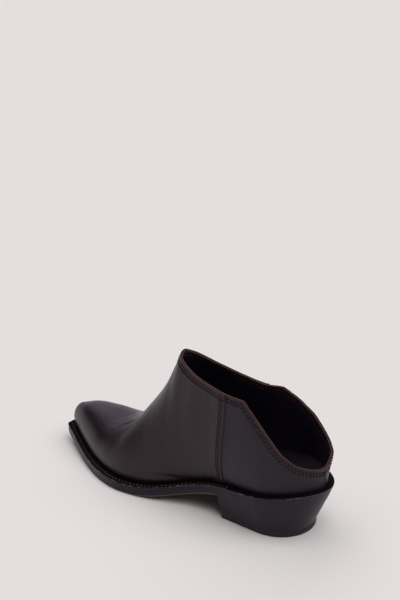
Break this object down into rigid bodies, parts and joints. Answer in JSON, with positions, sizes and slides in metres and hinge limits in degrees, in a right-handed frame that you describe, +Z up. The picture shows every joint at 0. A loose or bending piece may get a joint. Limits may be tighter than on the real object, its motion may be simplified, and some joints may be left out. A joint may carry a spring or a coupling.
{
  "type": "mule",
  "caption": "Low riding-boot style mule in dark aubergine leather: pointed snip toe, high front collar, low back rim, side seams, stitched welt and a tapered stacked heel. Right shoe.",
  "frame": {"origin": "middle of the flat face that the heel stands on, on the floor plane", "axes": "+X towards the toe, +Y to the inner (medial) side of this right shoe, +Z up"},
  "size_m": [0.2677, 0.0898, 0.1195],
  "materials": {
    "upper_leather": "smooth, glossy, fine grain",
    "lining_leather": "matt, smooth",
    "welt_leather": "waxed black edge",
    "sole_leather": "polished dark edge",
    "heel_stack": "polished layers",
    "lift_rubber": "matt"
  },
  "bodies": {
    "root": {"upper": "upper_leather", "insole": "lining_leather", "welt": "welt_leather", "outsole": "sole_leather", "heel": "heel_stack", "top_lift": "lift_rubber"}
  },
  "joints": []
}
